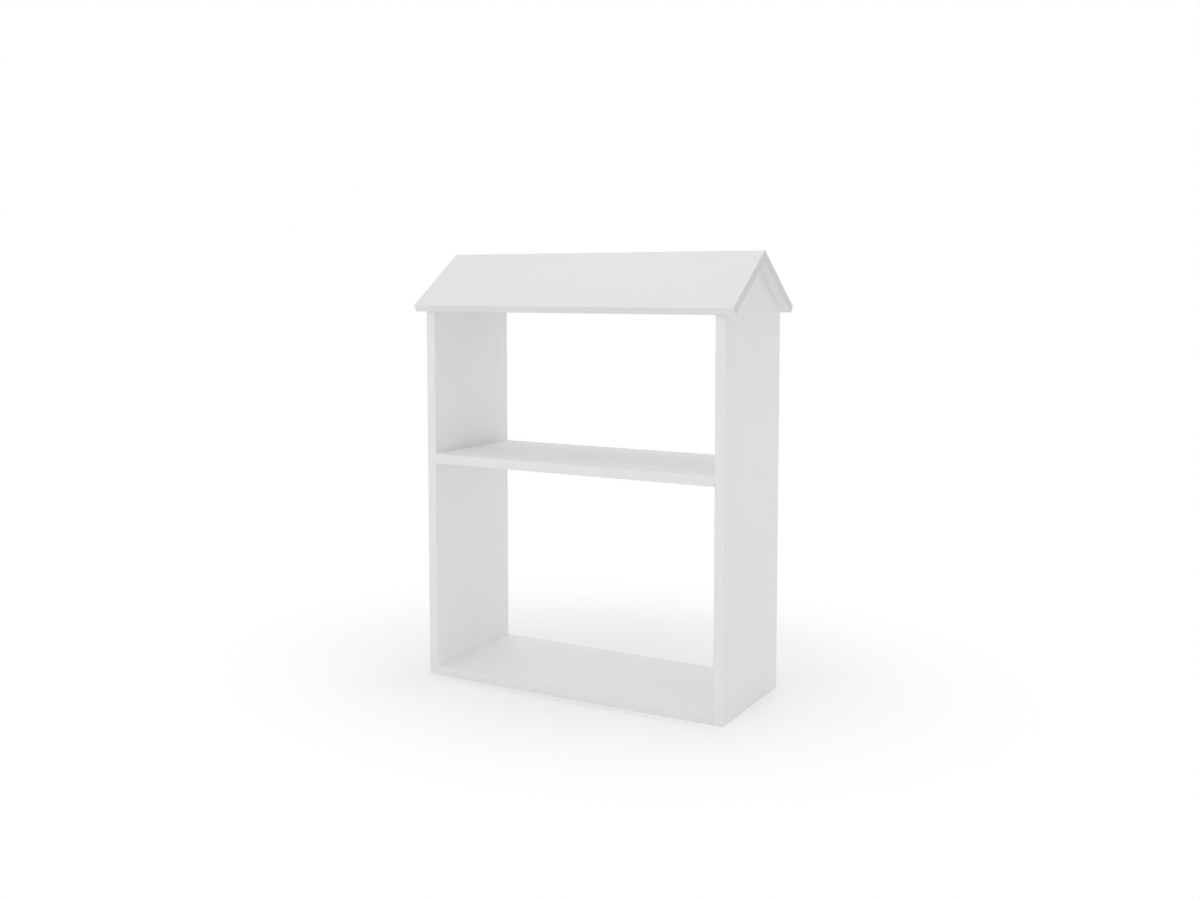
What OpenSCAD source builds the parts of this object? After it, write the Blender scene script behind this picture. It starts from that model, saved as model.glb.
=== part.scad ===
// House shaped bookcase for a child's room, in millimetres.
// Two gabled side panels carry a bottom board, one shelf and two roof boards that
// meet in a mitre along the ridge. The back is open. Boards are edged with thin
// bands and pulled together by cam fittings, with dowels beside them.
// Origin: on the floor, under the middle of the body. +Y is the back, +Z is up.

/* [Carcass] */
// Width over the outer faces of the two side panels
body_w = 660; // [440:1:900]
// Depth of the body from front edge to back edge, bands included
body_d = 266; // [230:1:360]
// Height of the side panels' upright edges, from the floor to the roof
wall_h = 753; // [620:1:1000]
// Thickness of the side panels
side_t = 20; // [16:0.5:25]
// Height of the middle shelf's upper face above the floor
shelf_top = 460; // [250:1:560]
// Thickness of the middle shelf
shelf_t = 20; // [16:0.5:25]
// Thickness of the bottom board
base_t = 20; // [16:0.5:25]

/* [Roof] */
// Slope of the roof boards, in degrees
roof_pitch = 35.5; // [28:0.5:45]
// Thickness of the roof boards
roof_t = 16; // [15:0.5:22]
// How far the roof stands out past each side panel
gable_over = 21; // [5:1:40]
// How far the eaves' lower edge stands out past the front and back edges
eave_over = 5; // [3:1:40]

/* [Edge bands] */
// Thickness of the edge bands, which is also the radius of their outer corners
band_t = 1; // [0.5:0.1:2]

/* [Joint layout] */
// Distance of the cam rows from the front and back edges of shelf and bottom
cam_inset = 37; // [30:1:50]
// Distance from a cam to the dowel beside it
dowel_step = 32; // [24:1:36]

/* [Cam] */
// Bore of the housing that takes the cam
housing_d = 15; // [14.5:0.5:18]
// Distance from the joint to the cam's axis
cam_back = 24; // [24:1:34]
// How far the housing reaches past the bolt's axis
cam_below = 4.5; // [4.2:0.1:6]
// How far the cam's top lies below the board's face
cam_sink = 0.3; // [0.1:0.1:1]
// Gap between the cam and the wall of its housing
cam_clear = 0.1; // [0.05:0.05:0.2]
// Radius of the eccentric chamber that holds the bolt's head
chamber_r = 4.8; // [4.7:0.05:5]
// Distance of the chamber's centre from the cam's axis
chamber_off = 1.2; // [0.9:0.05:1.3]
// Angle that the cam has turned from open to tight
cam_turn = 110; // [90:5:130]
// Length of each arm of the driver cross
cross_len = 7.5; // [6:0.1:9]
// Width of each arm of the driver cross
cross_w = 2; // [1.6:0.1:2.4]
// Depth of the driver cross
cross_depth = 2.6; // [2:0.1:3]

/* [Cam bolt] */
// Diameter of the thread and of its bore
thread_d = 5; // [4:0.5:6]
// Length of the thread
thread_len = 11; // [8:0.5:12]
// Diameter of the collar that seats on the face
collar_d = 7; // [6.5:0.1:7.6]
// Thickness of the collar
collar_t = 1.5; // [1:0.1:3]
// Diameter of the shank between collar and neck
shank_d = 5.2; // [4.5:0.1:6]
// Diameter of the neck that passes through the cam's claw
neck_d = 3.5; // [3:0.1:3.8]
// Diameter of the head
head_d = 6.2; // [5.6:0.1:6.4]
// Bore for the bolt in the end of the board
bolt_bore_d = 8; // [7.8:0.1:9]

/* [Dowel] */
// Diameter of the dowels
dowel_d = 8; // [6:0.5:10]
// Length of the dowels
dowel_len = 30; // [25:1:40]
// Depth of a dowel in the face that it stands on
dowel_in = 11; // [8:0.5:12]
// Air left past the dowel's free end
dowel_spare = 1; // [0.5:0.5:3]
// Gap between the dowel and the wall of its bore
dowel_clear = 0.05; // [0.02:0.01:0.1]

/* [Cover cap] */
// How far the cap's disc covers the face round the cam's housing
cap_lip = 1; // [0.5:0.5:3]
// Thickness of the cap's disc
cap_t = 1.2; // [1:0.1:2]
// Gap between the cap's cross peg and the driver cross
peg_clear = 0.2; // [0.1:0.05:0.4]

/* [Hidden] */
$fn = 48;

// Boards
inner_w = body_w - 2 * side_t;
core_d = body_d - 2 * band_t;
gable_x = (body_w - side_t) / 2;
base_z = base_t / 2;
shelf_z = shelf_top - shelf_t / 2;

// Roof: runs are measured down the slope from the ridge's lower corner
apex_z = wall_h + body_d / 2 * tan(roof_pitch);
roof_len = body_w + 2 * gable_over;
eave_run = (body_d / 2 + eave_over) / cos(roof_pitch);
core_run = eave_run - band_t;
mitre_run = -roof_t * tan(roof_pitch);
seat_run = body_d / 2 / cos(roof_pitch);

// Joint layout: places along the depth and down the slope
cam_rows = [for (s = [-1, 1]) s * (body_d / 2 - cam_inset)];
dowel_rows = [for (s = [-1, 1]) s * (body_d / 2 - cam_inset - dowel_step)];
cam_runs = [for (s = [-1, 1]) seat_run / 2 + s * dowel_step];
dowel_runs = [seat_run / 2];

// Fittings
cam_d = housing_d - 2 * cam_clear;
cap_d = housing_d + 2 * cap_lip;
head_room = 0.4;     // gap round the bolt's head in the cam's chamber
entry_room = 0.3;    // gap round the bolt's head where it enters the cam
neck_room = 0.35;    // gap beside the bolt's neck in the cam's claw
claw_clear = 0.05;   // gap between the head's rim and the chamber's wall
head_len = 3.2;      // straight part of the head
head_cone = 0.8;     // cone between neck and head
shank_short = 0.5;   // how far the shank stops short of the cam's housing
thread_spare = 0.5;  // air left past the thread's tip
thread_clear = 0.05; // gap between the thread and its bore
tip_len = 1.5;       // length of the thread's pointed tip
edge_break = 0.8;    // chamfer on dowels, heads and caps
over = 1;            // how far a cutting shape runs past the face it opens

// The cam's slot ends where the neck's room meets the chamber's wall, and the head's
// rim lies against that wall
claw_w = neck_d + 2 * neck_room;
slot_past = atan2(claw_w / 2, chamber_wall(claw_w / 2));
rim_back = chamber_wall(head_d / 2) - claw_clear;

BOARD = "white";
BAND = "whitesmoke";
ZINC = "darkgray";
STEEL = "silver";
BEECH = "burlywood";

// Distance of the cam chamber's wall from the cam's axis, towards the bolt and y beside it
function chamber_wall(y) = sqrt(pow(chamber_r, 2) - pow(y, 2)) - chamber_off;

// Height of the roof's underside at a distance y from the middle
function under_roof(y) = apex_z - abs(y) * tan(roof_pitch);

// Point of the front roof board's section, run down the slope and rise above its underside
function slope_point(run, rise) = [
    -run * cos(roof_pitch) - rise * sin(roof_pitch),
    apex_z - run * sin(roof_pitch) + rise * cos(roof_pitch),
];

// ---- Joint frames ----
// Each has its origin where a bolt or dowel crosses from one board into the other,
// +Z into the board that holds the cam, and +X towards the mouth of the cam's housing.

// Both ends of a level board whose middle lies at height z; the cams open downwards
module at_board_ends(z, rows) {
    for (turn = [0, 180], row = rows)
        rotate([0, 0, turn])
            translate([-inner_w / 2, row, z])
                rotate([0, 90, 0])
                    children();
}

// The front slopes of both gables; the cams open into the bookcase
module at_front_slopes(runs) {
    for (run = runs) {
        translate([-gable_x, 0, apex_z])
            rotate([180 + roof_pitch, 0, 0])
                translate([0, run, 0])
                    children();
        translate([gable_x, 0, apex_z])
            rotate([180 - roof_pitch, 0, 180])
                translate([0, -run, 0])
                    children();
    }
}

module at_back_slopes(runs) {
    rotate([0, 0, 180])
        at_front_slopes(runs)
            children();
}

// ---- Drilling, in a joint frame ----
module bore(d, from, to) {
    translate([0, 0, from])
        cylinder(d = d, h = to - from);
}

// Housing and bolt bore in a board of thickness t
module cam_drilling(t) {
    bore(bolt_bore_d, -over, cam_back);
    translate([0, 0, cam_back])
        rotate([0, 90, 0])
            bore(housing_d, -cam_below, t / 2 + over);
}

module thread_drilling() {
    bore(thread_d, -thread_len - thread_spare, over);
}

// A dowel's bore in the face that it stands on, and in the board that slides over it
module dowel_drilling_face() {
    bore(dowel_d + 2 * dowel_clear, -dowel_in, over);
}

module dowel_drilling_end() {
    bore(dowel_d + 2 * dowel_clear, -over, dowel_len - dowel_in + dowel_spare);
}

// ---- Boards ----
// Left gable of a given depth: an upright slab whose top follows the roof
module gable(depth) {
    translate([-body_w / 2, 0, 0])
        rotate([90, 0, 90])
            linear_extrude(side_t)
                polygon([
                    [-depth / 2, 0],
                    [depth / 2, 0],
                    [depth / 2, under_roof(depth / 2)],
                    [0, apex_z],
                    [-depth / 2, under_roof(depth / 2)],
                ]);
}

// Left side panel, drilled for the level boards and for both roof boards
module side_panel() {
    difference() {
        gable(core_d);
        for (z = [base_z, shelf_z]) {
            at_board_ends(z, cam_rows) thread_drilling();
            at_board_ends(z, dowel_rows) dowel_drilling_face();
        }
        at_front_slopes(cam_runs) cam_drilling(side_t);
        at_back_slopes(cam_runs) cam_drilling(side_t);
        at_front_slopes(dowel_runs) dowel_drilling_end();
        at_back_slopes(dowel_runs) dowel_drilling_end();
    }
}

// Level board of thickness t between the side panels, its middle at height z
module level_board(z, t) {
    difference() {
        translate([0, 0, z])
            cube([inner_w, core_d, t], center = true);
        at_board_ends(z, cam_rows) cam_drilling(t);
        at_board_ends(z, dowel_rows) dowel_drilling_end();
    }
}

// Section of the front roof board without its bands, drawn along the body's width
module roof_slab(len) {
    translate([-len / 2, 0, 0])
        rotate([90, 0, 90])
            linear_extrude(len)
                polygon([
                    slope_point(mitre_run, roof_t),
                    slope_point(0, 0),
                    slope_point(core_run, 0),
                    slope_point(core_run, roof_t),
                ]);
}

// Front roof board, mitred at the ridge and drilled in its underside
module roof_board() {
    difference() {
        roof_slab(roof_len - 2 * band_t);
        at_front_slopes(cam_runs) thread_drilling();
        at_front_slopes(dowel_runs) dowel_drilling_face();
    }
}

// ---- Edge bands ----
// Band for a board of thickness t: its glued face lies on Y = 0 and it runs up +Z
module band(t, len) {
    linear_extrude(len) {
        translate([-t / 2 + band_t, 0])
            square([t - 2 * band_t, band_t]);
        for (s = [-1, 1])
            intersection() {
                translate([s * (t / 2 - band_t), 0])
                    circle(r = band_t);
                translate([-t / 2, 0])
                    square([t, band_t]);
            }
    }
}

// Bands on the front and back edges of the left side panel, cut to the roof's slope
module side_back_band() {
    intersection() {
        translate([-gable_x, core_d / 2, 0])
            band(side_t, apex_z);
        gable(body_d);
    }
}

module side_front_band() {
    intersection() {
        translate([-gable_x, -core_d / 2, 0])
            rotate([0, 0, 180])
                band(side_t, apex_z);
        gable(body_d);
    }
}

// Band on the back edge of a level board; the front one is the same, turned round
module level_back_band(z, t) {
    translate([-inner_w / 2, core_d / 2, z])
        rotate([0, 90, 0])
            band(t, inner_w);
}

module level_front_band(z, t) {
    rotate([0, 0, 180])
        level_back_band(z, t);
}

// Band along the front eave, over the full length of the roof
module eave_band() {
    middle = slope_point(core_run, roof_t / 2);
    translate([-roof_len / 2, middle[0], middle[1]])
        rotate([roof_pitch + 180, 0, 0])
            rotate([0, 90, 0])
                band(roof_t, roof_len);
}

// Band on the left end of the front roof board, cut to the ridge's mitre
module roof_left_band() {
    middle = slope_point(core_run, roof_t / 2);
    intersection() {
        translate([band_t - roof_len / 2, middle[0], middle[1]])
            rotate([roof_pitch - 90, 0, 0])
                rotate([0, 0, 90])
                    band(roof_t, core_run - 2 * mitre_run);
        roof_slab(roof_len);
    }
}

module roof_right_band() {
    mirror([1, 0, 0])
        roof_left_band();
}

// ---- Fittings ----
// Wedge between two angles, with steps long enough to stay few and short enough that
// its rim clears the cam
module sector(from, to, radius) {
    steps = 3;
    polygon([
        [0, 0],
        for (i = [0:steps])
            let (a = from + (to - from) * i / steps)
                radius * [cos(a), sin(a)],
    ]);
}

// Eccentric cam for a board of thickness t, shown tight, in a joint frame.
// In its own frame the axis is +Z, out of the housing, and the bolt comes along +X.
module cam(t) {
    top = t / 2 - cam_sink;
    translate([0, 0, cam_back])
        rotate([0, 90, 0])
            difference() {
                bore(cam_d, -cam_below, top);
                translate([-chamber_off, 0, 0])
                    cylinder(r = chamber_r, h = head_d + 2 * head_room, center = true);
                linear_extrude(claw_w, center = true)
                    sector(-slot_past, cam_turn, 2 * housing_d);
                rotate([0, 90, cam_turn])
                    bore(head_d + 2 * entry_room, 0, housing_d);
                for (arm = [0, 90])
                    rotate([0, 0, arm])
                        translate([-cross_len / 2, -cross_w / 2, top - cross_depth])
                            cube([cross_len, cross_w, cross_depth + over]);
            }
}

// Bolt that screws into a face and whose head the cam pulls in, in a joint frame
module cam_bolt() {
    tip_z = -thread_len;
    cone_z = cam_back - rim_back;
    end_z = cone_z + head_len;
    neck_z = cone_z - head_cone;
    shank_z = cam_back - housing_d / 2 - shank_short - (shank_d - neck_d) / 2;
    thread_r = thread_d / 2 - thread_clear;
    rotate_extrude()
        polygon([
            [0, tip_z],
            [thread_r - tip_len, tip_z],
            [thread_r, tip_z + tip_len],
            [thread_r, 0],
            [collar_d / 2, 0],
            [collar_d / 2, collar_t],
            [shank_d / 2, collar_t],
            [shank_d / 2, shank_z],
            [neck_d / 2, shank_z + (shank_d - neck_d) / 2],
            [neck_d / 2, neck_z],
            [head_d / 2, cone_z],
            [head_d / 2, end_z - edge_break],
            [head_d / 2 - edge_break, end_z],
            [0, end_z],
        ]);
}

// Wooden dowel with chamfered ends, in a joint frame
module dowel() {
    out = dowel_len - dowel_in;
    rotate_extrude()
        polygon([
            [0, -dowel_in],
            [dowel_d / 2 - edge_break, -dowel_in],
            [dowel_d / 2, edge_break - dowel_in],
            [dowel_d / 2, out - edge_break],
            [dowel_d / 2 - edge_break, out],
            [0, out],
        ]);
}

// Cap over the cam of a board of thickness t: a thin disc with a peg in the driver cross
module cam_cap(t) {
    peg_len = cross_len - 2 * peg_clear;
    peg_w = cross_w - 2 * peg_clear;
    peg_depth = cam_sink + cross_depth - peg_clear;
    translate([0, 0, cam_back])
        rotate([0, 90, 0])
            translate([0, 0, t / 2]) {
                rotate_extrude()
                    polygon([
                        [0, 0],
                        [cap_d / 2, 0],
                        [cap_d / 2, cap_t - edge_break],
                        [cap_d / 2 - edge_break, cap_t],
                        [0, cap_t],
                    ]);
                for (arm = [0, 90])
                    rotate([0, 0, arm])
                        translate([-peg_len / 2, -peg_w / 2, -peg_depth])
                            cube([peg_len, peg_w, peg_depth + edge_break / 2]);
            }
}

// ---- Named pieces ----
module left_side_panel() color(BOARD) side_panel();
module right_side_panel() color(BOARD) rotate([0, 0, 180]) side_panel();
module bottom_board() color(BOARD) level_board(base_z, base_t);
module middle_shelf() color(BOARD) level_board(shelf_z, shelf_t);
module front_roof_board() color(BOARD) roof_board();
module back_roof_board() color(BOARD) rotate([0, 0, 180]) roof_board();

module left_side_front_band() color(BAND) side_front_band();
module left_side_back_band() color(BAND) side_back_band();
module right_side_front_band() color(BAND) rotate([0, 0, 180]) side_back_band();
module right_side_back_band() color(BAND) rotate([0, 0, 180]) side_front_band();
module bottom_front_band() color(BAND) level_front_band(base_z, base_t);
module bottom_back_band() color(BAND) level_back_band(base_z, base_t);
module shelf_front_band() color(BAND) level_front_band(shelf_z, shelf_t);
module shelf_back_band() color(BAND) level_back_band(shelf_z, shelf_t);
module front_roof_eave_band() color(BAND) eave_band();
module back_roof_eave_band() color(BAND) rotate([0, 0, 180]) eave_band();
module front_roof_left_band() color(BAND) roof_left_band();
module front_roof_right_band() color(BAND) roof_right_band();
module back_roof_left_band() color(BAND) rotate([0, 0, 180]) roof_right_band();
module back_roof_right_band() color(BAND) rotate([0, 0, 180]) roof_left_band();

module bottom_cams() color(ZINC) at_board_ends(base_z, cam_rows) cam(base_t);
module shelf_cams() color(ZINC) at_board_ends(shelf_z, cam_rows) cam(shelf_t);
module front_roof_cams() color(ZINC) at_front_slopes(cam_runs) cam(side_t);
module back_roof_cams() color(ZINC) at_back_slopes(cam_runs) cam(side_t);
module bottom_cam_bolts() color(STEEL) at_board_ends(base_z, cam_rows) cam_bolt();
module shelf_cam_bolts() color(STEEL) at_board_ends(shelf_z, cam_rows) cam_bolt();
module front_roof_cam_bolts() color(STEEL) at_front_slopes(cam_runs) cam_bolt();
module back_roof_cam_bolts() color(STEEL) at_back_slopes(cam_runs) cam_bolt();
module bottom_dowels() color(BEECH) at_board_ends(base_z, dowel_rows) dowel();
module shelf_dowels() color(BEECH) at_board_ends(shelf_z, dowel_rows) dowel();
module front_roof_dowels() color(BEECH) at_front_slopes(dowel_runs) dowel();
module back_roof_dowels() color(BEECH) at_back_slopes(dowel_runs) dowel();
module shelf_cam_caps() color(BAND) at_board_ends(shelf_z, cam_rows) cam_cap(shelf_t);
module front_roof_cam_caps() color(BAND) at_front_slopes(cam_runs) cam_cap(side_t);
module back_roof_cam_caps() color(BAND) at_back_slopes(cam_runs) cam_cap(side_t);

left_side_panel();
right_side_panel();
bottom_board();
middle_shelf();
front_roof_board();
back_roof_board();
left_side_front_band();
left_side_back_band();
right_side_front_band();
right_side_back_band();
bottom_front_band();
bottom_back_band();
shelf_front_band();
shelf_back_band();
front_roof_eave_band();
back_roof_eave_band();
front_roof_left_band();
front_roof_right_band();
back_roof_left_band();
back_roof_right_band();
bottom_cams();
shelf_cams();
front_roof_cams();
back_roof_cams();
bottom_cam_bolts();
shelf_cam_bolts();
front_roof_cam_bolts();
back_roof_cam_bolts();
bottom_dowels();
shelf_dowels();
front_roof_dowels();
back_roof_dowels();
shelf_cam_caps();
front_roof_cam_caps();
back_roof_cam_caps();
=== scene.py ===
"""Finish and studio of the house shaped bookcase: melamine faced boards with plastic edging,
held together by zinc cams, plated bolts and beech dowels, on a white studio floor."""
import math

import bmesh
import bpy
from bpy.props import FloatProperty, FloatVectorProperty, IntProperty, PointerProperty
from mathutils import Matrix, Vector


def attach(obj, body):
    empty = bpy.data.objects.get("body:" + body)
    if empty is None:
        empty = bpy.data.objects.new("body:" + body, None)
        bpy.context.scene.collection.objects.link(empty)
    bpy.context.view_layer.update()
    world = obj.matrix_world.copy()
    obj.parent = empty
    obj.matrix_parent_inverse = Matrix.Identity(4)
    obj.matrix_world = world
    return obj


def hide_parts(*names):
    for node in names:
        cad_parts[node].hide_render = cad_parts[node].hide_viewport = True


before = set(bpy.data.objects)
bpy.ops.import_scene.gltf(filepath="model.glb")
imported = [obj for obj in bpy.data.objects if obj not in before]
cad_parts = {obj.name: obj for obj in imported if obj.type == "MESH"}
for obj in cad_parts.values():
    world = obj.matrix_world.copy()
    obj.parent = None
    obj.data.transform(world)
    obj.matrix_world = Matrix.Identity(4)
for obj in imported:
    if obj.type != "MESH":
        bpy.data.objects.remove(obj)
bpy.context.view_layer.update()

bl_info = {
    "name": "House Shaped Bookcase",
    "version": (1, 0, 0),
    "blender": (4, 5, 0),
    "location": "View3D > Sidebar > Bookcase",
    "description": "Gives the bookcase its finish and sets up its studio",
    "category": "Object",
}

MM = 0.001
# Measures closer than this are taken as the same one
HAIR = 0.01 * MM

SIDE_PANELS = ("left_side_panel", "right_side_panel")
LEVEL_BOARDS = ("bottom_board", "middle_shelf")
ROOF_BOARDS = ("front_roof_board", "back_roof_board")
CROSSWAYS = Vector((1, 0, 0))
UPRIGHT = Vector((0, 0, 1))

# How finely bolts and dowels are made again: rings in a turn of thread, sides round a bolt,
# sides to a flute, and the angle past which an edge between faces stays sharp
THREAD_RINGS = 8
BOLT_SIDES = 32
FLUTE_SIDES = 4
SHARP = math.radians(40)

# Fibres side by side in one chip of the chipboard
CHIP_FIBRES = 4

# Soft boxes of the studio, in metres: place, the point faced, and width and height
OVERHEAD_BOX = ((0, 0, 2.8), (0, 0, 0), (2.5, 2.5))
BACK_BOX = ((0, 2.6, 2.2), (0, 0, 0.5), (2.0, 0.9))
FRONT_BOX = ((0, -2.6, 2.2), (0, 0, 0.5), (2.0, 0.9))
# The four in the corners: how far out along X and Y, how high, and width and height
CORNER_REACH = 1.9
CORNER_HEIGHT = 0.35
CORNER_BOX = (2.0, 0.7)
FLOOR_SIDES = 96

# Sockets of a Mix node for colours: its colours at factor 0 and at factor 1, and its result
AT_ZERO, AT_ONE, MIXED = 6, 7, 2
WHITE = (1, 1, 1, 1)


# ---- Reading the frame ----
def pieces_named(*parts):
    """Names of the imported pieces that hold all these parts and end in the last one."""
    return sorted(
        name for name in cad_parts
        if name.endswith(parts[-1]) and all(part in name for part in parts)
    )


def broad_normal(name):
    """Direction square to a board's broad faces, which hold its largest triangles."""
    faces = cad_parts[name].data.polygons
    return max(faces, key=lambda face: face.area).normal.copy()


def down_slope(name):
    """Direction down the slope of a roof board."""
    return broad_normal(name).cross(CROSSWAYS)


def distinct(values):
    """The values in rising order, those within a hair of each other taken once."""
    found = []
    for value in sorted(values):
        if not found or value - found[-1] > HAIR:
            found.append(value)
    return found


def middle(values):
    """Halfway between the lowest value and the highest."""
    return (min(values) + max(values)) / 2


def place_in_plan(points):
    """Where the middle of a solid is, seen from above, in whole hairs along X and Y."""
    return [round(middle([point[axis] for point in points]) / HAIR) for axis in (0, 1)]


def separate_solids(name):
    """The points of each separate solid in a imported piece, from left to right."""
    shape = bmesh.new()
    shape.from_mesh(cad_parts[name].data)
    bmesh.ops.remove_doubles(shape, verts=shape.verts, dist=HAIR / 10)
    waiting = set(shape.verts)
    solids = []
    while waiting:
        # The list grows while the loop walks it, until nothing that it holds has a new neighbour
        found = [waiting.pop()]
        for point in found:
            near = {edge.other_vert(point) for edge in point.link_edges} & waiting
            waiting -= near
            found += near
        solids.append([point.co.copy() for point in found])
    shape.free()
    return sorted(solids, key=place_in_plan)


def way_in(name, points):
    """Direction from the face that a bolt or dowel stands on into the board it holds."""
    for board in ROOF_BOARDS:
        if name.startswith(board.removesuffix("_board")):
            normal = broad_normal(board)
            return -normal if normal.z > 0 else normal
    return CROSSWAYS if middle([point.x for point in points]) < 0 else -CROSSWAYS


def turned_outline(points, centre, way):
    """Outline of a turned solid as heights along its axis and radii, from foot to head."""
    pairs = [(point.dot(way), (point - centre).cross(way).length) for point in points]
    outline = []
    for height in distinct(pair[0] for pair in pairs):
        radii = distinct(
            radius for level, radius in pairs if abs(level - height) <= HAIR and radius > HAIR
        )
        # Where the outline steps, it leaves from the radius that it has just below
        if outline and abs(radii[-1] - outline[-1][1]) < abs(radii[0] - outline[-1][1]):
            radii.reverse()
        outline += [(height, radius) for radius in radii]
    return outline


# ---- Colours and nodes ----
def linear(code):
    """A colour written as six sRGB hex digits, as linear red, green and blue."""
    parts = [int(code[i:i + 2], 16) / 255 for i in (0, 2, 4)]
    return tuple(c / 12.92 if c <= 0.04045 else ((c + 0.055) / 1.055) ** 2.4 for c in parts)


def opaque(colour):
    """A colour with full alpha, as colour sockets take it."""
    return (*colour, 1)


def add(tree, kind, inputs=None, **settings):
    """Adds one node. inputs holds, by socket, a value or the output socket that feeds it."""
    node = tree.nodes.new("ShaderNode" + kind)
    for name, value in settings.items():
        setattr(node, name, value)
    for socket, value in (inputs or {}).items():
        if isinstance(value, bpy.types.NodeSocket):
            tree.links.new(value, node.inputs[socket])
        else:
            node.inputs[socket].default_value = value
    return node


def new_material(name, **inputs):
    """A material with these values on its shader's own sockets; also its tree and shader."""
    material = bpy.data.materials.new(name)
    material.use_nodes = True
    tree = material.node_tree
    shader = tree.nodes["Principled BSDF"]
    for socket, value in inputs.items():
        shader.inputs[socket].default_value = value
    return material, tree, shader


def drawn_out(tree, along, stretch):
    """Object coordinates in which a pattern is so many times as long along one direction as
    across it. With a stretch below 1 the pattern lies flat across that direction."""
    place = add(tree, "TexCoord").outputs["Object"]
    reach = add(tree, "VectorMath", {0: place, 1: along}, operation="DOT_PRODUCT")
    spare = add(tree, "VectorMath", {
        0: along * (1 - 1 / stretch), "Scale": reach.outputs["Value"],
    }, operation="SCALE")
    return add(tree, "VectorMath", {0: place, 1: spare.outputs[0]},
               operation="SUBTRACT").outputs[0]


# ---- Materials ----
# Their patterns lie in object coordinates, in metres, so a scale is one over a real size
def melamine(finish):
    """Melamine paper pressed on chipboard: a hard white film with a fine pearl texture.
    The dimples break up every reflection, so the faces look matt with a soft sheen."""
    material, tree, shader = new_material("Melamine, pressed pearl", IOR=1.45)
    place = add(tree, "TexCoord").outputs["Object"]
    drift = add(tree, "TexNoise", {"Vector": place, "Scale": 1 / finish.drift, "Detail": 2.0})
    white = add(tree, "Mix", {
        "Factor": drift.outputs["Fac"],
        AT_ZERO: opaque(finish.face),
        AT_ONE: opaque(finish.drifted),
    }, data_type="RGBA")
    tree.links.new(white.outputs[MIXED], shader.inputs["Base Color"])
    # The real dimples are about 0.3 mm wide. These are coarser, so that they show from close
    # up. From the photograph's distance a white board looks smooth either way
    pearl = add(tree, "TexVoronoi", {"Vector": place, "Scale": 1 / finish.pearl},
                feature="SMOOTH_F1")
    gloss = add(tree, "MapRange", {
        "Value": pearl.outputs["Distance"], "To Min": 0.6, "To Max": 0.72,
    })
    tree.links.new(gloss.outputs["Result"], shader.inputs["Roughness"])
    dimples = add(tree, "Bump", {
        "Height": pearl.outputs["Distance"], "Strength": 0.5, "Distance": 0.12 * MM,
    })
    tree.links.new(dimples.outputs["Normal"], shader.inputs["Normal"])
    return material


def chipboard(finish, normal):
    """Sawn edge of chipboard: glued wood chips, pale and dark, that lie flat in the board, so
    that the cut shows ragged slivers, open and quite rough. It shows only where no edging
    covers it, under the side panels and in the drillings."""
    material, tree, shader = new_material("Chipboard, sawn", Roughness=0.85)
    lying = drawn_out(tree, normal, finish.chip_thickness / finish.chip)
    fibre = add(tree, "TexNoise", {
        "Vector": lying, "Scale": CHIP_FIBRES / finish.chip, "Detail": 4.0,
    })
    ragged = add(tree, "VectorMath", {
        0: fibre.outputs["Color"], 1: (finish.chip, finish.chip, finish.chip), 2: lying,
    }, operation="MULTIPLY_ADD")
    chips = add(tree, "TexVoronoi", {"Vector": ragged.outputs[0], "Scale": 1 / finish.chip})
    # Each runs from 0 to 1, and the two together mostly from 0.5 to 1.4
    both = add(tree, "Math", {0: chips.outputs["Color"], 1: fibre.outputs["Fac"]},
               operation="ADD")
    tone = add(tree, "MapRange", {
        "Value": both.outputs[0], "From Min": 0.5, "From Max": 1.4,
    })
    wood = add(tree, "Mix", {
        "Factor": tone.outputs["Result"],
        AT_ZERO: opaque(finish.core_dark),
        AT_ONE: opaque(finish.core),
    }, data_type="RGBA")
    tree.links.new(wood.outputs[MIXED], shader.inputs["Base Color"])
    rough = add(tree, "Bump", {
        "Height": chips.outputs["Distance"], "Strength": 0.6, "Distance": 0.2 * MM,
    })
    tree.links.new(rough.outputs["Normal"], shader.inputs["Normal"])
    return material


def edging(finish, along, white):
    """Extruded ABS edging, glued on, trimmed and scraped: smoother than the melamine, with
    faint marks of the scraper along it that draw its reflections out into a line."""
    material, tree, shader = new_material("ABS edging, scraped", IOR=1.5)
    streaks = add(tree, "TexNoise", {
        "Vector": drawn_out(tree, along, finish.streak_length / finish.streak),
        "Scale": 1 / finish.streak,
        "Detail": 1.0,
    })
    scraped = [finish.scraped_share * part for part in white]
    streaked = add(tree, "Mix", {
        "Factor": streaks.outputs["Fac"],
        AT_ZERO: opaque(white),
        AT_ONE: opaque(scraped),
    }, data_type="RGBA")
    tree.links.new(streaked.outputs[MIXED], shader.inputs["Base Color"])
    gloss = add(tree, "MapRange", {
        "Value": streaks.outputs["Fac"], "To Min": 0.5, "To Max": 0.62,
    })
    tree.links.new(gloss.outputs["Result"], shader.inputs["Roughness"])
    marks = add(tree, "Bump", {
        "Height": streaks.outputs["Fac"], "Strength": 0.3, "Distance": 0.02 * MM,
    })
    tree.links.new(marks.outputs["Normal"], shader.inputs["Normal"])
    return material


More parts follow.
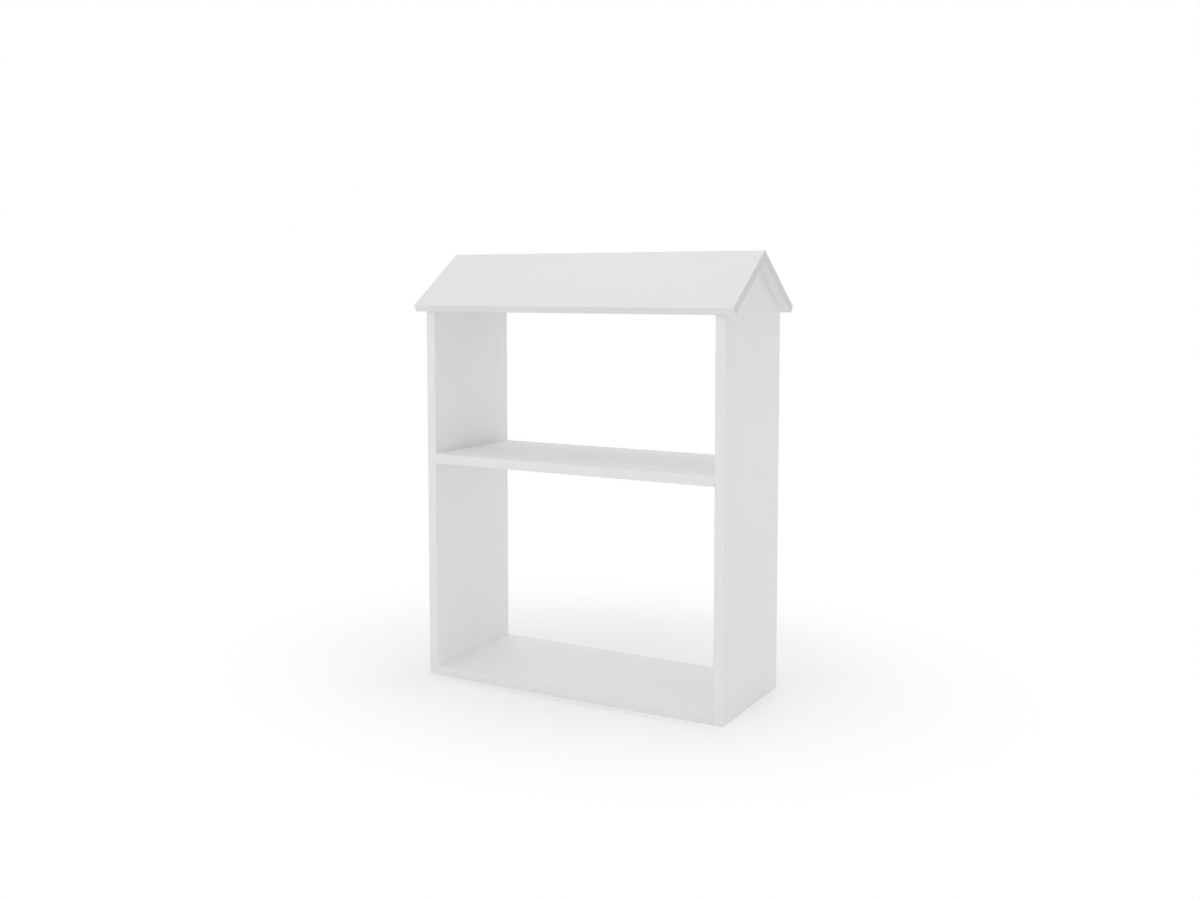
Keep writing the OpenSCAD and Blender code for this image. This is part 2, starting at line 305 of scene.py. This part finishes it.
def die_cast_zinc(finish):
    """Zinc die casting, tumbled: a dull grey metal, mottled and slightly grainy."""
    material, tree, shader = new_material("Zinc, die cast", Metallic=1.0)
    place = add(tree, "TexCoord").outputs["Object"]
    grain = add(tree, "TexNoise", {
        "Vector": place, "Scale": 1 / finish.cast_grain, "Detail": 4.0,
    })
    grey = add(tree, "Mix", {
        "Factor": grain.outputs["Fac"],
        AT_ZERO: opaque(finish.zinc_dark),
        AT_ONE: opaque(finish.zinc),
    }, data_type="RGBA")
    tree.links.new(grey.outputs[MIXED], shader.inputs["Base Color"])
    gloss = add(tree, "MapRange", {
        "Value": grain.outputs["Fac"], "To Min": 0.38, "To Max": 0.56,
    })
    tree.links.new(gloss.outputs["Result"], shader.inputs["Roughness"])
    skin = add(tree, "Bump", {
        "Height": grain.outputs["Fac"], "Strength": 0.4, "Distance": 0.05 * MM,
    })
    tree.links.new(skin.outputs["Normal"], shader.inputs["Normal"])
    return material


def zinc_plating(finish):
    """Turned steel, zinc plated: bright, with a slight blue cast that comes and goes."""
    material, tree, shader = new_material("Steel, zinc plated", Metallic=1.0)
    place = add(tree, "TexCoord").outputs["Object"]
    film = add(tree, "TexNoise", {"Vector": place, "Scale": 1 / finish.film, "Detail": 2.0})
    bright = add(tree, "Mix", {
        "Factor": film.outputs["Fac"],
        AT_ZERO: opaque(finish.plating),
        AT_ONE: opaque(finish.plating_blue),
    }, data_type="RGBA")
    tree.links.new(bright.outputs[MIXED], shader.inputs["Base Color"])
    gloss = add(tree, "MapRange", {
        "Value": film.outputs["Fac"], "To Min": 0.2, "To Max": 0.34,
    })
    tree.links.new(gloss.outputs["Result"], shader.inputs["Roughness"])
    return material


def turned_beech(finish, along):
    """Beech rod, turned and chamfered: pale pink-brown with short dark flecks in the grain."""
    material, tree, shader = new_material("Beech, turned", Roughness=0.6)
    grain = add(tree, "TexNoise", {
        "Vector": drawn_out(tree, along, finish.fleck_length / finish.fleck),
        "Scale": 1 / finish.fleck,
        "Detail": 3.0,
    })
    tone = add(tree, "MapRange", {
        "Value": grain.outputs["Fac"], "From Min": 0.35, "From Max": 0.6,
    })
    wood = add(tree, "Mix", {
        "Factor": tone.outputs["Result"],
        AT_ZERO: opaque(finish.beech_fleck),
        AT_ONE: opaque(finish.beech),
    }, data_type="RGBA")
    tree.links.new(wood.outputs[MIXED], shader.inputs["Base Color"])
    pores = add(tree, "Bump", {
        "Height": tone.outputs["Result"], "Strength": 0.4, "Distance": 0.05 * MM,
    })
    tree.links.new(pores.outputs["Normal"], shader.inputs["Normal"])
    return material


def moulded_cap(finish):
    """Moulded polyethylene: a soft, slightly waxy white whose gloss is broken by a very
    fine spark-eroded texture."""
    material, tree, shader = new_material("Polyethylene, moulded", IOR=1.51)
    place = add(tree, "TexCoord").outputs["Object"]
    spark = add(tree, "TexNoise", {"Vector": place, "Scale": 1 / finish.spark, "Detail": 2.0})
    white = add(tree, "Mix", {
        "Factor": spark.outputs["Fac"],
        AT_ZERO: opaque(finish.cap),
        AT_ONE: opaque(finish.cap_worn),
    }, data_type="RGBA")
    tree.links.new(white.outputs[MIXED], shader.inputs["Base Color"])
    gloss = add(tree, "MapRange", {
        "Value": spark.outputs["Fac"], "To Min": 0.24, "To Max": 0.36,
    })
    tree.links.new(gloss.outputs["Result"], shader.inputs["Roughness"])
    return material


# ---- What a user would change ----
def colour(name, description, code):
    """A colour property whose default is six sRGB hex digits."""
    return FloatVectorProperty(
        name=name, description=description, subtype="COLOR", min=0, max=1, default=linear(code),
    )


def length(name, description, metres):
    """A length property in metres."""
    return FloatProperty(
        name=name, description=description, unit="LENGTH", min=HAIR, default=metres,
        precision=5,
    )


def watts(name, description, power):
    """A lamp's power in watts."""
    return FloatProperty(
        name=name, description=description, unit="POWER", min=0, default=power,
    )


class BoardFinish(bpy.types.PropertyGroup):
    """Finish of the melamine faced boards"""
    face: colour("Face", "White of the melamine paper", "E6E6E6")
    drifted: colour("Face, drifted", "The same white where the paper is thinner", "E3E3E3")
    drift: length("Drift", "Distance over which the white drifts", 90 * MM)
    pearl: length("Pearl", "Width of the dimples pressed into the faces", 1.5 * MM)
    core: colour("Core", "Pale chips of the core", "D9C19A")
    core_dark: colour("Core, dark", "Dark chips and glue of the core", "8E6C45")
    chip: length("Chip", "Length of a chip in the core", 3 * MM)
    chip_thickness: length("Chip thickness", "Thickness of a chip in the core", 0.8 * MM)


class EdgingFinish(bpy.types.PropertyGroup):
    """Finish of the edge bands"""
    face: colour("Face", "White of the edging", "E2E2E2")
    scraped_share: FloatProperty(
        name="Scraped share", description="Brightness of the scraped marks beside the white",
        subtype="FACTOR", min=0, max=1, default=0.97,
    )
    # Painted shade: the eave edging faces partly downward, and this greyer white darkens it
    # further, standing in for shade that the lamps don't give it
    eave: colour("Eave", "Greyer white of the edging on the roof's eaves", "DDDDDD")
    roof_end: colour("Roof end", "Greyer white of the edging on the ends of the roof", "CFCFCF")
    streak: length("Streak", "Width of the scraper's marks", 0.7 * MM)
    streak_length: length("Streak length", "Length of the scraper's marks", 60 * MM)


class FittingFinish(bpy.types.PropertyGroup):
    """Finish of the cams, bolts, dowels and caps, with the bolts' thread and dowels' flutes"""
    thread_pitch: length("Thread pitch", "Rise of the bolts' thread in one turn", 2.5 * MM)
    thread_depth: length("Thread depth", "Depth of the bolts' thread", 0.8 * MM)
    flutes: IntProperty(
        name="Flutes", description="Number of flutes round a dowel", min=3, default=16,
    )
    flute_depth: length("Flute depth", "Depth of the dowels' flutes", 0.25 * MM)
    zinc: colour("Zinc", "Grey of the cast cams", "A9ABAC")
    zinc_dark: colour("Zinc, dark", "Grey of the cams' darker mottles", "8D9092")
    cast_grain: length("Cast grain", "Width of the grain on the cams", 0.5 * MM)
    plating: colour("Plating", "Bright plating of the bolts", "D3D4D2")
    plating_blue: colour("Plating, blue", "Plating where it turns blue", "C3CAD2")
    film: length("Film", "Width of the patches in the plating", 3 * MM)
    beech: colour("Beech", "Pale wood of the dowels", "D3B084")
    beech_fleck: colour("Beech fleck", "Flecks in the dowels' grain", "A97F52")
    fleck: length("Fleck", "Width of a fleck", 0.4 * MM)
    fleck_length: length("Fleck length", "Length of a fleck", 4 * MM)
    cap: colour("Cap", "White of the cover caps", "E8E8E8")
    cap_worn: colour("Cap, worn", "White of the caps where they are rubbed", "E4E4E4")
    spark: length("Spark texture", "Width of the texture on the caps", 0.4 * MM)


class Studio(bpy.types.PropertyGroup):
    """Floor, light and camera"""
    floor: colour("Floor", "White of the floor", "F7F7F7")
    floor_radius: length("Floor radius", "Distance from the middle to the floor's rim", 4.0)
    shadow_middle: FloatVectorProperty(
        name="Shadow middle", description="Place on the floor where its shadow shows most",
        subtype="TRANSLATION", unit="LENGTH", default=(-0.05, 0.13, 0),
    )
    shadow_near: length("Shadow near", "Distance within which the shadow isn't faded", 0.12)
    shadow_far: length("Shadow far", "Distance past which the floor is plain white", 0.76)
    shadow_stretch: FloatProperty(
        name="Shadow stretch", description="How many times further it reaches to the sides",
        min=0.1, default=1.22,
    )
    sky: FloatProperty(
        name="Sky", description="Strength of the white all round", min=0, default=0.51,
    )
    overhead: watts("Overhead", "Soft box above the bookcase", 18)
    back: watts("Back", "Soft box high up behind the bookcase", 22.5)
    front: watts("Front", "Soft box high up before the bookcase", 14)
    corner: watts("Corner", "Each of the low soft boxes in the studio's four corners", 10.2)
    camera_place: FloatVectorProperty(
        name="Camera", description="Place of the camera", subtype="TRANSLATION",
        unit="LENGTH", default=(1.225, -2.198, 0.8015),
    )
    camera_turn: FloatProperty(
        name="Turn", description="How far the camera is turned to the left of straight ahead",
        unit="ROTATION", default=math.radians(29.14),
    )
    camera_tilt: FloatProperty(
        name="Tilt", description="How far the camera looks down",
        unit="ROTATION", default=math.radians(4.18),
    )
    lens: FloatProperty(
        name="Lens", description="Focal length for a 36 mm wide sensor", unit="CAMERA",
        min=1, default=37.76,
    )
    drop: FloatProperty(
        name="Drop", description="How far the frame is shifted down, in frame widths",
        min=0, default=0.06,
    )


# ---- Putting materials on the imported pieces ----
def dress(names, *materials):
    """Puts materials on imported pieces."""
    for name in names:
        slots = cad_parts[name].data.materials
        slots.clear()
        for material in materials:
            slots.append(material)


def bare_cuts(name):
    """Gives every face of a board that isn't on its two broad sides the second material."""
    normal = broad_normal(name)
    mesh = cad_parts[name].data
    heights = [normal.dot(point.co) for point in mesh.vertices]
    low, high = min(heights), max(heights)
    for face in mesh.polygons:
        height = normal.dot(face.center)
        face.material_index = int(min(height - low, high - height) > HAIR)


# ---- Bolts and dowels with their fine relief ----
def turn_solid(shape, centre, way, outline, sides, relief):
    """Adds a turned solid. relief gives how deep its surface lies at an angle and a height."""
    side = way.orthogonal().normalized()
    front = way.cross(side)
    rings = []
    for height, radius in outline:
        ring = []
        for i in range(sides):
            angle = math.tau * i / sides
            out = side * math.cos(angle) + front * math.sin(angle)
            point = centre + way * height + out * (radius - relief(angle, height))
            ring.append(shape.verts.new(point))
        rings.append(ring)
    for low, high in zip(rings, rings[1:]):
        for i in range(sides):
            j = (i + 1) % sides
            shape.faces.new((low[i], low[j], high[j], high[i]))
    shape.faces.new(rings[0][::-1])
    shape.faces.new(rings[-1])


def in_steps(outline, last, step):
    """The same outline with more rings between its foot and its point number last."""
    rings = []
    for (low, wide), (high, narrow) in zip(outline[:last], outline[1:last + 1]):
        steps = max(1, round((high - low) / step))
        for i in range(steps):
            part = i / steps
            rings.append((low + (high - low) * part, wide + (narrow - wide) * part))
    return rings + outline[last:]


def remake(name, ending, material, build):
    """Makes a packed group of turned pieces again in the same place, with its relief."""
    shape = bmesh.new()
    for points in separate_solids(name):
        way = way_in(name, points)
        side = way.orthogonal().normalized()
        # Where the axis passes the origin, which is where heights along it start
        centre = sum(
            (axis * middle([point.dot(axis) for point in points])
             for axis in (side, way.cross(side))),
            Vector(),
        )
        build(shape, centre, way, turned_outline(points, centre, way))
    mesh = bpy.data.meshes.new(name + ending)
    shape.to_mesh(mesh)
    shape.free()
    mesh.set_sharp_from_angle(angle=SHARP)
    mesh.materials.append(material)
    piece = bpy.data.objects.new(name + ending, mesh)
    bpy.context.scene.collection.objects.link(piece)
    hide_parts(name)
    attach(piece, "root")


def threaded(finish):
    """Builds a bolt whose thread winds from its tip up to its collar."""
    pitch, depth = finish.thread_pitch, finish.thread_depth

    def build(shape, centre, way, outline):
        # The collar is the first place where the outline steps out at one height
        pairs = enumerate(zip(outline, outline[1:]))
        last = next(i for i, (here, above) in pairs if above[0] - here[0] < HAIR)
        foot, collar = outline[0][0], outline[last][0]

        def relief(angle, height):
            # From crest to root and back in each turn, and run out at both ends
            run_in = min((height - foot) / pitch, (collar - height) / pitch, 1)
            turns = (height - foot) / pitch - angle / math.tau
            return max(0, run_in) * depth * (1 - abs(2 * (turns % 1) - 1))

        rings = in_steps(outline, last, pitch / THREAD_RINGS)
        turn_solid(shape, centre, way, rings, BOLT_SIDES, relief)

    return build


def fluted(finish):
    """Builds a dowel with flutes along its whole length."""
    def build(shape, centre, way, outline):
        turn_solid(
            shape, centre, way, outline, finish.flutes * FLUTE_SIDES,
            lambda angle, height: finish.flute_depth * (1 - math.cos(finish.flutes * angle)) / 2,
        )

    return build


# ---- Boards, bands and fittings ----
class BOOKCASE_OT_boards(bpy.types.Operator):
    """Dress the side panels, level boards and roof boards"""
    bl_idname = "bookcase.boards"
    bl_label = "Boards"

    def execute(self, context):
        finish = context.scene.bookcase_boards
        white = melamine(finish)
        for name in SIDE_PANELS + LEVEL_BOARDS + ROOF_BOARDS:
            dress([name], white, chipboard(finish, broad_normal(name)))
            bare_cuts(name)
        return {"FINISHED"}


class BOOKCASE_OT_edge_bands(bpy.types.Operator):
    """Dress the edge bands, with the scraper's marks along each"""
    bl_idname = "bookcase.edge_bands"
    bl_label = "Edge bands"

    def execute(self, context):
        finish = context.scene.bookcase_edging
        uprights = pieces_named("side", "band")
        levels = pieces_named("bottom", "band") + pieces_named("shelf", "band")
        dress(uprights, edging(finish, UPRIGHT, finish.face))
        dress(levels, edging(finish, CROSSWAYS, finish.face))
        # The eaves take the greyer white, which is painted shade for their downward facing edge
        dress(pieces_named("eave", "band"), edging(finish, CROSSWAYS, finish.eave))
        for board in ROOF_BOARDS:
            slope = board.removesuffix("board")
            ends = [slope + "left_band", slope + "right_band"]
            dress(ends, edging(finish, down_slope(board), finish.roof_end))
        return {"FINISHED"}


class BOOKCASE_OT_cams(bpy.types.Operator):
    """Dress the cams"""
    bl_idname = "bookcase.cams"
    bl_label = "Cams"

    def execute(self, context):
        dress(pieces_named("_cams"), die_cast_zinc(context.scene.bookcase_fittings))
        return {"FINISHED"}


class BOOKCASE_OT_bolts(bpy.types.Operator):
    """Cut the thread of the cam bolts and dress them"""
    bl_idname = "bookcase.bolts"
    bl_label = "Cam bolts"

    def execute(self, context):
        finish = context.scene.bookcase_fittings
        steel = zinc_plating(finish)
        for name in pieces_named("_cam_bolts"):
            remake(name, ".threaded", steel, threaded(finish))
        return {"FINISHED"}


class BOOKCASE_OT_dowels(bpy.types.Operator):
    """Flute the dowels and dress them, with the grain along each"""
    bl_idname = "bookcase.dowels"
    bl_label = "Dowels"

    def execute(self, context):
        finish = context.scene.bookcase_fittings
        for name in pieces_named("_dowels"):
            beech = turned_beech(finish, way_in(name, separate_solids(name)[0]))
            remake(name, ".fluted", beech, fluted(finish))
        return {"FINISHED"}


class BOOKCASE_OT_caps(bpy.types.Operator):
    """Dress the caps that cover the cams"""
    bl_idname = "bookcase.caps"
    bl_label = "Cover caps"

    def execute(self, context):
        dress(pieces_named("_cam_caps"), moulded_cap(context.scene.bookcase_fittings))
        return {"FINISHED"}


# ---- Studio ----
def seen_directly(tree):
    """1 where a surface is seen by the camera, in a reflection or through something clear."""
    light = add(tree, "LightPath").outputs
    mirrored = add(tree, "Math", {0: light["Is Glossy Ray"], 1: light["Is Transmission Ray"]},
                   operation="MAXIMUM")
    return add(tree, "Math", {0: light["Is Camera Ray"], 1: mirrored.outputs[0]},
               operation="MAXIMUM").outputs[0]


def floor_paint(studio):
    """Matt white studio floor. It shows the bookcase's shadow, and fades to plain white."""
    material, tree, shader = new_material("Studio floor, matt")
    output = tree.nodes["Material Output"]
    tree.nodes.remove(shader)
    place = add(tree, "TexCoord").outputs["Object"]
    away = add(tree, "VectorMath", {0: place, 1: studio.shadow_middle}, operation="SUBTRACT")
    drawn_in = add(tree, "VectorMath", {
        0: away.outputs[0], 1: (1 / studio.shadow_stretch, 1, 1),
    }, operation="MULTIPLY")
    reach = add(tree, "VectorMath", {0: drawn_in.outputs[0]}, operation="LENGTH")
    fade = add(tree, "MapRange", {
        "Value": reach.outputs["Value"],
        "From Min": studio.shadow_near,
        "From Max": studio.shadow_far,
    }, interpolation_type="SMOOTHSTEP")
    plain = add(tree, "Math", {0: fade.outputs["Result"], 1: seen_directly(tree)},
                operation="MULTIPLY")
    matt = add(tree, "BsdfDiffuse", {"Color": opaque(studio.floor)})
    white = add(tree, "Emission", {"Color": WHITE})
    mixed = add(tree, "MixShader", {
        0: plain.outputs[0], 1: matt.outputs[0], 2: white.outputs[0],
    })
    tree.links.new(mixed.outputs[0], output.inputs["Surface"])
    return material


def lay_floor(studio):
    """A round floor under the bookcase."""
    mesh = bpy.data.meshes.new("studio_floor")
    shape = bmesh.new()
    bmesh.ops.create_circle(
        shape, cap_ends=True, segments=FLOOR_SIDES, radius=studio.floor_radius,
    )
    shape.to_mesh(mesh)
    shape.free()
    mesh.materials.append(floor_paint(studio))
    floor = bpy.data.objects.new("studio_floor", mesh)
    bpy.context.scene.collection.objects.link(floor)


def light_sky(studio):
    """A white world that lights the bookcase evenly and is plain white where it is seen."""
    world = bpy.data.worlds.new("Studio white")
    world.use_nodes = True
    bpy.context.scene.world = world
    tree = world.node_tree
    lighting = tree.nodes["Background"]
    lighting.inputs["Color"].default_value = WHITE
    lighting.inputs["Strength"].default_value = studio.sky
    white = add(tree, "Background", {"Color": WHITE, "Strength": 1.0})
    mixed = add(tree, "MixShader", {
        0: seen_directly(tree), 1: lighting.outputs[0], 2: white.outputs[0],
    })
    tree.links.new(mixed.outputs[0], tree.nodes["World Output"].inputs["Surface"])


def hang_lamp(name, place, aim, size, power):
    """A soft box that faces a point. The camera doesn't see it."""
    data = bpy.data.lights.new(name, "AREA")
    data.shape = "RECTANGLE"
    data.size, data.size_y = size
    data.energy = power
    lamp = bpy.data.objects.new(name, data)
    lamp.location = place
    lamp.rotation_euler = (Vector(aim) - Vector(place)).to_track_quat("-Z", "Y").to_euler()
    lamp.visible_camera = False
    bpy.context.scene.collection.objects.link(lamp)


def hang_lamps(studio):
    """Soft boxes above, behind and in front, and low ones in the corners of the studio."""
    hang_lamp("overhead", *OVERHEAD_BOX, studio.overhead)
    hang_lamp("back", *BACK_BOX, studio.back)
    hang_lamp("front", *FRONT_BOX, studio.front)
    for x in (-CORNER_REACH, CORNER_REACH):
        for y in (-CORNER_REACH, CORNER_REACH):
            hang_lamp("corner", (x, y, CORNER_HEIGHT), (0, 0, CORNER_HEIGHT), CORNER_BOX,
                      studio.corner)


def set_camera(studio):
    """The camera at the photograph's place."""
    data = bpy.data.cameras.new("camera")
    data.lens = studio.lens
    data.shift_y = -studio.drop
    camera = bpy.data.objects.new("camera", data)
    camera.location = studio.camera_place
    camera.rotation_euler = (math.pi / 2 - studio.camera_tilt, 0, studio.camera_turn)
    bpy.context.scene.collection.objects.link(camera)
    bpy.context.scene.camera = camera


class BOOKCASE_OT_studio(bpy.types.Operator):
    """Set up the floor, the light and the camera"""
    bl_idname = "bookcase.studio"
    bl_label = "Studio"

    def execute(self, context):
        studio = context.scene.bookcase_studio
        lay_floor(studio)
        light_sky(studio)
        hang_lamps(studio)
        set_camera(studio)
        context.scene.view_settings.view_transform = "Standard"
        return {"FINISHED"}


# ---- Registering ----
OPERATORS = (
    BOOKCASE_OT_boards, BOOKCASE_OT_edge_bands, BOOKCASE_OT_cams, BOOKCASE_OT_bolts,
    BOOKCASE_OT_dowels, BOOKCASE_OT_caps, BOOKCASE_OT_studio,
)


SETTINGS = {
    "bookcase_boards": BoardFinish,
    "bookcase_edging": EdgingFinish,
    "bookcase_fittings": FittingFinish,
    "bookcase_studio": Studio,
}


class BOOKCASE_PT_sidebar(bpy.types.Panel):
    """Buttons that dress the bookcase, and the values they work from"""
    bl_label = "House shaped bookcase"
    bl_idname = "BOOKCASE_PT_sidebar"
    bl_space_type = "VIEW_3D"
    bl_region_type = "UI"
    bl_category = "Bookcase"

    def draw(self, context):
        for operator in OPERATORS:
            self.layout.operator(operator.bl_idname)
        for name, kind in SETTINGS.items():
            box = self.layout.box()
            for value in kind.__annotations__:
                box.prop(getattr(context.scene, name), value)


CLASSES = (*SETTINGS.values(), *OPERATORS, BOOKCASE_PT_sidebar)


def register():
    for kind in CLASSES:
        bpy.utils.register_class(kind)
    for name, kind in SETTINGS.items():
        setattr(bpy.types.Scene, name, PointerProperty(type=kind))


def unregister():
    for name in SETTINGS:
        delattr(bpy.types.Scene, name)
    for kind in reversed(CLASSES):
        bpy.utils.unregister_class(kind)


def main():
    register()
    bpy.ops.bookcase.boards()
    bpy.ops.bookcase.edge_bands()
    bpy.ops.bookcase.cams()
    bpy.ops.bookcase.bolts()
    bpy.ops.bookcase.dowels()
    bpy.ops.bookcase.caps()
    bpy.ops.bookcase.studio()


if __name__ == "__main__":
    main()
